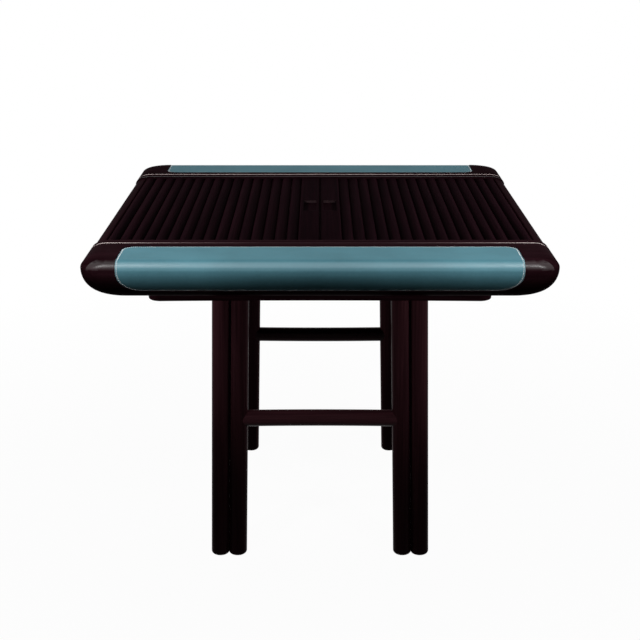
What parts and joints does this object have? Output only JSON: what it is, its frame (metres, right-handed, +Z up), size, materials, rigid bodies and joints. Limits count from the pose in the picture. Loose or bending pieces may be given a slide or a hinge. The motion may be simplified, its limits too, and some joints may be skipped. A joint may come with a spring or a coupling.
{
  "type": "backgammon table",
  "caption": "Backgammon table on leaning twin-column legs, with leather let into thick rounded rails and two tambour doors that roll away inside the ends.",
  "frame": {"origin": "on the floor below the middle of the top", "axes": "+X from left to right along the doors' travel, +Y from the leather front to the back along the slats, +Z up"},
  "size_m": [0.9704, 1.118, 0.75],
  "materials": {
    "frame_wood": "semi-gloss",
    "slat_wood": "semi-gloss",
    "lead_slat_wood": "semi-gloss",
    "leg_wood": "semi-gloss",
    "panel_leather": "semi-gloss",
    "field_leather": "matte",
    "light_point": "matte",
    "dark_point": "matte",
    "tray_felt": "matte",
    "board_wood": "satin",
    "core_wood": "matte",
    "plywood": "matte"
  },
  "bodies": {
    "table": {"back_leather_panel": "panel_leather", "back_left_inner_column": "leg_wood", "back_left_outer_column": "leg_wood", "back_rail": "frame_wood", "back_right_inner_column": "leg_wood", "back_right_outer_column": "leg_wood", "back_side_rail": "board_wood", "back_stretcher": "leg_wood", "board_carrier": "plywood", "bottom_panel": "plywood", "centre_bar": "board_wood", "front_leather_panel": "panel_leather", "front_left_inner_column": "leg_wood", "front_left_outer_column": "leg_wood", "front_rail": "frame_wood", "front_right_inner_column": "leg_wood", "front_right_outer_column": "leg_wood", "front_side_rail": "board_wood", "front_stretcher": "leg_wood", "left_end_core": "core_wood", "left_end_rail": "frame_wood", "left_far_point_1": "light_point", "left_far_point_2": "dark_point", "left_far_point_3": "light_point", "left_far_point_4": "dark_point", "left_far_point_5": "light_point", "left_far_point_6": "dark_point", "left_near_point_1": "dark_point", "left_near_point_2": "light_point", "left_near_point_3": "dark_point", "left_near_point_4": "light_point", "left_near_point_5": "dark_point", "left_near_point_6": "light_point", "left_playing_field": "field_leather", "left_tail_slat": "slat_wood", "left_tray_divider": "board_wood", "left_tray_lining": "tray_felt", "right_end_core": "core_wood", "right_end_rail": "frame_wood", "right_far_point_1": "dark_point", "right_far_point_2": "light_point", "right_far_point_3": "dark_point", "right_far_point_4": "light_point", "right_far_point_5": "dark_point", "right_far_point_6": "light_point", "right_near_point_1": "light_point", "right_near_point_2": "dark_point", "right_near_point_3": "light_point", "right_near_point_4": "dark_point", "right_near_point_5": "light_point", "right_near_point_6": "dark_point", "right_playing_field": "field_leather", "right_tail_slat": "slat_wood", "right_tray_divider": "board_wood", "right_tray_lining": "tray_felt", "under_board": "frame_wood"},
    "left_door": {"left_lead_slat": "lead_slat_wood", "left_slat_sheet": "slat_wood"},
    "right_door": {"right_lead_slat": "lead_slat_wood", "right_slat_sheet": "slat_wood"}
  },
  "joints": [
    {"name": "left_door_slide", "type": "slide", "parent": "table", "child": "left_door", "axis": [-1, 0, 0], "range_m": [0, 0.38], "deforming": ["left_slat_sheet"]},
    {"name": "right_door_slide", "type": "slide", "parent": "table", "child": "right_door", "axis": [1, 0, 0], "range_m": [0, 0.38], "deforming": ["right_slat_sheet"]}
  ]
}
